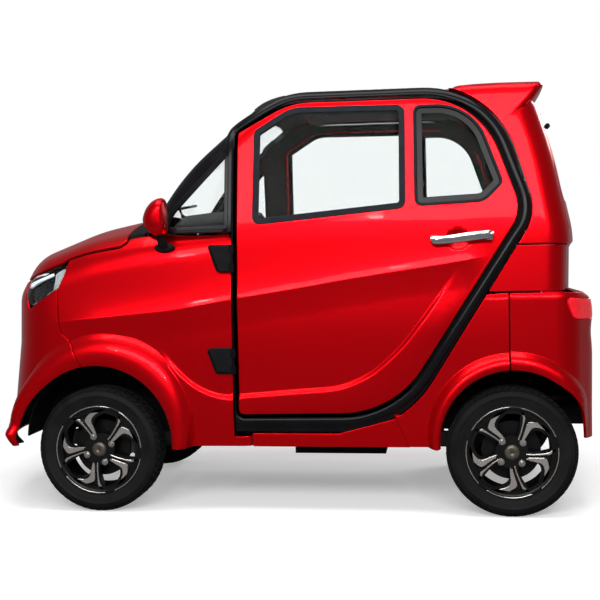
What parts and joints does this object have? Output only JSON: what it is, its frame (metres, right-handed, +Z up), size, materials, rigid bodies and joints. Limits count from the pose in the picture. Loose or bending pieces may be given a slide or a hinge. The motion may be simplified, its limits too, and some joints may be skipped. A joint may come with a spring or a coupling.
{
  "type": "enclosed mobility scooter",
  "caption": "Small enclosed four-wheeled mobility scooter with a hollow cabin, hinged doors, tailgate and bonnet, steered front wheels and seats in line.",
  "frame": {"origin": "on the ground under the middle of the bounding box", "axes": "+Z up, the nose points along -X, the vehicle's left side is at -Y"},
  "size_m": [2.4753, 1.284, 1.676],
  "materials": {
    "tyre_rubber": "matt black rubber",
    "alloy": "gloss black with machined faces",
    "steel": "dark coated steel",
    "red_paint": "metallic red, clear coat",
    "black_gloss": "gloss black",
    "black_plastic": "grained black",
    "clear_glass": "clear",
    "chrome_trim": "polished",
    "lamp_lens": "clear lens",
    "red_lens": "red lens",
    "seat_cover": "black grained cover"
  },
  "bodies": {
    "body": {"front_axle": "steel", "rear_axle": "steel", "chassis_frame": "steel", "fender_left": "red_paint", "fender_right": "red_paint", "front_bumper": "red_paint", "quarter_panel_left": "red_paint", "quarter_panel_right": "red_paint", "rear_bumper": "red_paint", "roof_panel": "red_paint", "spoiler": "red_paint", "sills": "red_paint", "mirrors": "red_paint", "side_rail_left": "black_gloss", "side_rail_right": "black_gloss", "door_hinges": "black_gloss", "cowl": "black_plastic", "wiper": "black_plastic", "dashboard": "black_plastic", "steering_column": "black_plastic", "floor_pan": "black_plastic", "battery_pack": "black_plastic", "windscreen": "clear_glass", "vent_windows": "clear_glass", "headlights": "lamp_lens", "taillights": "red_lens", "front_seat": "seat_cover", "rear_seat": "seat_cover"},
    "door_left_body": {"door_left": "red_paint", "door_glass_left": "clear_glass", "door_handle_left": "chrome_trim"},
    "door_right_body": {"door_right": "red_paint", "door_glass_right": "clear_glass", "door_handle_right": "chrome_trim"},
    "tailgate_body": {"tailgate": "red_paint", "tailgate_glass": "clear_glass"},
    "bonnet_body": {"bonnet": "red_paint"},
    "steering_wheel_body": {"steering_wheel": "black_plastic"},
    "knuckle_left_body": {"knuckle_left": "steel"},
    "knuckle_right_body": {"knuckle_right": "steel"},
    "wheel_front_left_body": {"wheel_front_left": "alloy", "tyre_front_left": "tyre_rubber"},
    "wheel_front_right_body": {"wheel_front_right": "alloy", "tyre_front_right": "tyre_rubber"},
    "wheel_rear_left_body": {"wheel_rear_left": "alloy", "tyre_rear_left": "tyre_rubber"},
    "wheel_rear_right_body": {"wheel_rear_right": "alloy", "tyre_rear_right": "tyre_rubber"}
  },
  "joints": [
    {"name": "door_left_hinge", "type": "hinge", "parent": "body", "child": "door_left_body", "pos_m": [-0.168, -0.547, 0.9], "axis": [0, 0, -1], "range_deg": [0, 65]},
    {"name": "door_right_hinge", "type": "hinge", "parent": "body", "child": "door_right_body", "pos_m": [-0.168, 0.547, 0.9], "axis": [0, 0, 1], "range_deg": [0, 65]},
    {"name": "tailgate_hinge", "type": "hinge", "parent": "body", "child": "tailgate_body", "pos_m": [1.04, 0, 1.6], "axis": [0, -1, 0], "range_deg": [0, 75]},
    {"name": "bonnet_hinge", "type": "hinge", "parent": "body", "child": "bonnet_body", "pos_m": [-0.603, 0, 1.176], "axis": [0, 1, 0], "range_deg": [0, 50]},
    {"name": "steering", "type": "hinge", "parent": "body", "child": "steering_wheel_body", "pos_m": [-0.215, 0, 1.01], "axis": [0.788, 0, 0.6157], "range_deg": [-360, 360]},
    {"name": "steer_left", "type": "hinge", "parent": "body", "child": "knuckle_left_body", "pos_m": [-0.72, -0.395, 0.247], "axis": [0, 0, 1], "range_deg": [-28.5, 28.5]},
    {"name": "steer_right", "type": "hinge", "parent": "body", "child": "knuckle_right_body", "pos_m": [-0.72, 0.395, 0.247], "axis": [0, 0, 1], "range_deg": [-28.5, 28.5]},
    {"name": "roll_front_left", "type": "hinge", "parent": "knuckle_left_body", "child": "wheel_front_left_body", "pos_m": [-0.72, -0.485, 0.247], "axis": [0, 1, 0], "continuous": true},
    {"name": "roll_front_right", "type": "hinge", "parent": "knuckle_right_body", "child": "wheel_front_right_body", "pos_m": [-0.72, 0.485, 0.247], "axis": [0, 1, 0], "continuous": true},
    {"name": "roll_rear_left", "type": "hinge", "parent": "body", "child": "wheel_rear_left_body", "pos_m": [0.894, -0.485, 0.247], "axis": [0, 1, 0], "continuous": true},
    {"name": "roll_rear_right", "type": "hinge", "parent": "body", "child": "wheel_rear_right_body", "pos_m": [0.894, 0.485, 0.247], "axis": [0, 1, 0], "continuous": true}
  ],
  "couplings": [
    {"joint": "steer_left", "follows": "steering", "ratio": 0.077778},
    {"joint": "steer_right", "follows": "steering", "ratio": 0.077778}
  ]
}
